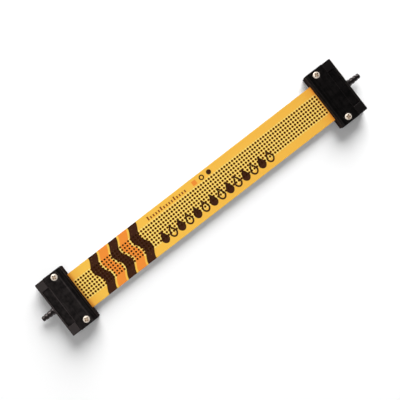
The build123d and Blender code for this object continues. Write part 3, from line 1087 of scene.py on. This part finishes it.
def make_strain_relief(side, turn):
    """A ringed taper with an open bore, turned about the line of its lead, at one end."""
    low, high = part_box("right_strain_relief")
    axis_level = (low.z + high.z) / 2
    shape = bmesh.new()
    ring = [shape.verts.new((low.x + run * MM, 0.0, axis_level + radius * MM))
            for run, radius in eased_outline(relief_profile())]
    edges = [shape.edges.new((ring[number - 1], ring[number])) for number in range(len(ring))]
    bmesh.ops.spin(shape, geom=ring + edges, cent=(0.0, 0.0, axis_level), axis=(1.0, 0.0, 0.0),
                   angle=2 * math.pi, steps=RELIEF_TURN_STEPS, use_merge=True)
    bmesh.ops.remove_doubles(shape, verts=shape.verts, dist=MESH_WELD * MM)
    bmesh.ops.recalc_face_normals(shape, faces=shape.faces)
    bmesh.ops.rotate(shape, verts=shape.verts, cent=(0.0, 0.0, 0.0), matrix=Matrix.Rotation(turn, 3, "Z"))
    mesh = bpy.data.meshes.new(f"{side}_ringed_relief")
    shape.to_mesh(mesh)
    shape.free()
    mesh.materials.append(RELIEF_RUBBER)
    mesh.shade_smooth()
    mesh.set_sharp_from_angle(angle=RELIEF_SHARP_ANGLE)
    piece = put_in_scene(f"{side}_ringed_relief", mesh)
    settle(piece, "relief_black", f"{side}_strain_relief")


# The whole sensor

def dress(node, finish):
    """Give a CAD node that keeps its own shape its finish."""
    mesh = NODES[node].data
    mesh.materials.clear()
    mesh.materials.append(finish)


# Each set: the top finish, then paler copies that paint a highlight on the edges and light on the sides
LID_FINISHES = (LID_TOP, LID_EDGE_PAINTED_HIGHLIGHT, LID_SIDE_PAINTED_LIGHT)
BASE_FINISHES = (BASE_TOP, BASE_EDGE_PAINTED_HIGHLIGHT, BASE_SIDE_PAINTED_LIGHT)

make_cover_film()
make_lid_screws()
dress("base_film", CARRIER_FILM)
dress("conductor_lines", SILVER_INK)
for side, turn in (("right", 0.0), ("left", math.pi)):
    lid = moulded_copy(f"{side}_lid", f"{side}_lid_moulding", LID_FINISHES, LID_EASE)
    settle(lid, "box_lid", f"{side}_lid")
    base = moulded_copy(f"{side}_base", f"{side}_base_moulding", BASE_FINISHES, BASE_EASE)
    settle(base, "box_base", f"{side}_base")
    make_strain_relief(side, turn)
    dress(f"{side}_thread_inserts", INSERT_BRASS)
    dress(f"{side}_contact_board", BOARD_GREEN)
    dress(f"{side}_contact_springs", CONTACT_BRASS)
    dress(f"{side}_wire_posts", POST_TIN)
    dress(f"{side}_pressure_pad", PAD_RUBBER)


# Stage, light and camera

def floor_paint():
    """Pale paint that keeps the shadow, and turns white to the camera and in reflections further out."""
    made, tree = blank_material("studio_floor_pale")
    place = tree.nodes.new("ShaderNodeTexCoord").outputs["Object"]
    darker, paler = FLOOR_SHADES
    colour = lay(tree, grain(tree, place, scale=3.0), grey(darker), grey(paler))
    matt = add(tree, "ShaderNodeBsdfDiffuse", {"Color": colour})
    path = tree.nodes.new("ShaderNodeLightPath").outputs
    seen = either(tree, path["Is Glossy Ray"], path["Is Transmission Ray"])
    seen = either(tree, path["Is Camera Ray"], seen)
    out = add(tree, "ShaderNodeVectorMath", {0: place}, operation="LENGTH").outputs["Value"]
    white = fade(tree, out, FLOOR_WHITE_START, FLOOR_WHITE_FULL, FLOOR_WHITE_NEAR, FLOOR_WHITE_FAR)
    glow = add(tree, "ShaderNodeEmission", {"Strength": both(tree, seen, white)})
    paint = add(tree, "ShaderNodeAddShader", {0: matt.outputs[0], 1: glow.outputs[0]})
    tree.links.new(paint.outputs[0], tree.nodes.new("ShaderNodeOutputMaterial").inputs[0])
    return made


def make_floor():
    """A flat floor under the sensor."""
    shape = bmesh.new()
    bmesh.ops.create_grid(shape, x_segments=FLOOR_CELLS, y_segments=FLOOR_CELLS, size=FLOOR_REACH)
    mesh = bpy.data.meshes.new("studio_floor")
    shape.to_mesh(mesh)
    shape.free()
    mesh.materials.append(floor_paint())
    floor = put_in_scene("studio_floor", mesh)
    return floor


def make_world():
    """Soft room light: pale towards the horizon and darker overhead."""
    world = bpy.data.worlds.new("studio_room")
    bpy.context.scene.world = world
    world.use_nodes = True
    tree = world.node_tree
    tree.nodes.clear()
    _, _, up = axes(tree, tree.nodes.new("ShaderNodeTexCoord").outputs["Generated"])
    colour = lay(tree, fade(tree, up, low=0.05, high=0.8), grey(ROOM_HORIZON), grey(ROOM_OVERHEAD))
    sky = add(tree, "ShaderNodeBackground", {"Color": colour})
    tree.links.new(sky.outputs[0], tree.nodes.new("ShaderNodeOutputWorld").inputs[0])


def soft_light(name, azimuth, elevation, distance, width, power):
    """A round soft light aimed at the middle of the sensor."""
    lamp = bpy.data.lights.new(name, "AREA")
    lamp.shape = "DISK"
    lamp.size = width
    lamp.energy = power
    holder = put_in_scene(name, lamp)
    turn = math.radians(azimuth)
    rise = math.radians(elevation)
    flat = math.cos(rise)
    towards = Vector((math.cos(turn) * flat, math.sin(turn) * flat, math.sin(rise)))
    holder.location = towards * distance
    holder.rotation_euler = holder.location.to_track_quat("Z", "Y").to_euler()
    return holder


def link_light(holder, floor, state):
    """Let a light fall on the floor alone, or on all but the floor."""
    lit = bpy.data.collections.new(f"{holder.name}_reach")
    lit.objects.link(floor)
    lit.collection_objects[0].light_linking.link_state = state
    holder.light_linking.receiver_collection = lit


def make_camera():
    """Almost straight above, turned so that the film runs up to the right."""
    back = (Vector(CAMERA_PLACE) - Vector(CAMERA_AIM)).normalized()
    along = Vector((1.0, 0.0, 0.0))
    along = (along - back * along.dot(back)).normalized()
    over = back.cross(along)
    roll = math.radians(CAMERA_ROLL)
    right = along * math.cos(roll) - over * math.sin(roll)
    up = along * math.sin(roll) + over * math.cos(roll)
    lens = bpy.data.cameras.new("photo_camera")
    lens.sensor_width = CAMERA_SENSOR
    lens.lens = CAMERA_SENSOR / 2 / math.tan(math.radians(CAMERA_FIELD / 2))
    lens.clip_start = CAMERA_NEAREST
    camera = put_in_scene("photo_camera", lens)
    turned = Matrix((right, up, back)).transposed().to_4x4()
    camera.matrix_world = Matrix.Translation(CAMERA_PLACE) @ turned
    bpy.context.scene.camera = camera


studio_floor = make_floor()
make_world()
link_light(soft_light("object_key", **OBJECT_KEY), studio_floor, "EXCLUDE")
link_light(soft_light("floor_key", **FLOOR_KEY), studio_floor, "INCLUDE")
soft_light("left_light", **LEFT_LIGHT)
make_camera()
bpy.context.scene.view_settings.view_transform = "Standard"
